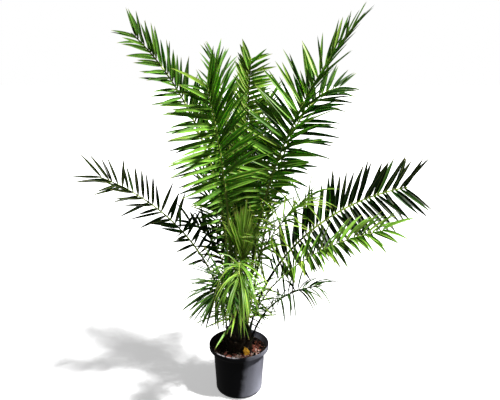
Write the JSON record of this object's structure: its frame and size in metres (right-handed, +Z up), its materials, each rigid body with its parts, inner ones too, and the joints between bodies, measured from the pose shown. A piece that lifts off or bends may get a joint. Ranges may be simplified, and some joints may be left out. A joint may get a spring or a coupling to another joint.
{
  "type": "potted date palm",
  "caption": "Young feather palm in a black nursery pot: arching fronds of narrow pointed leaflets rise from a short bulb of leaf bases set in soil.",
  "frame": {"origin": "centre of the pot's flat underside", "axes": "+Z up; -Y towards the front of the plant, +X to its right as seen from the front"},
  "size_m": [1.6347, 1.2086, 1.7479],
  "materials": {
    "pot_plastic": "satin black",
    "potting_soil": "rough dark brown",
    "leaf_bases": "rough fibrous",
    "bark_chips": "rough",
    "palm_leaf": "satin green"
  },
  "bodies": {
    "root": {"pot": "pot_plastic", "root_ball": "potting_soil", "trunk": "leaf_bases", "bark_chip_01": "bark_chips", "bark_chip_02": "bark_chips", "bark_chip_03": "bark_chips", "bark_chip_04": "bark_chips", "bark_chip_05": "bark_chips", "bark_chip_06": "bark_chips", "bark_chip_07": "bark_chips", "bark_chip_08": "bark_chips", "bark_chip_09": "bark_chips", "bark_chip_10": "bark_chips", "bark_chip_11": "bark_chips", "bark_chip_12": "bark_chips", "frond_centre_left": "palm_leaf", "frond_right_high": "palm_leaf", "frond_right_second": "palm_leaf", "frond_left_high": "palm_leaf", "frond_left_low": "palm_leaf", "frond_right_low": "palm_leaf", "frond_right_front": "palm_leaf", "frond_centre": "palm_leaf", "frond_front_young": "palm_leaf", "frond_front_drooping_lower": "palm_leaf", "frond_front_drooping_upper": "palm_leaf", "frond_right_inner": "palm_leaf", "frond_left_inner": "palm_leaf", "frond_left_foot_lower": "palm_leaf", "frond_left_foot_upper": "palm_leaf", "frond_right_foot": "palm_leaf", "frond_back_high_left": "palm_leaf", "frond_back_high_right": "palm_leaf", "frond_back_tall": "palm_leaf", "frond_back_low_left": "palm_leaf", "frond_back_low_right": "palm_leaf", "frond_back_low": "palm_leaf"}
  },
  "joints": []
}
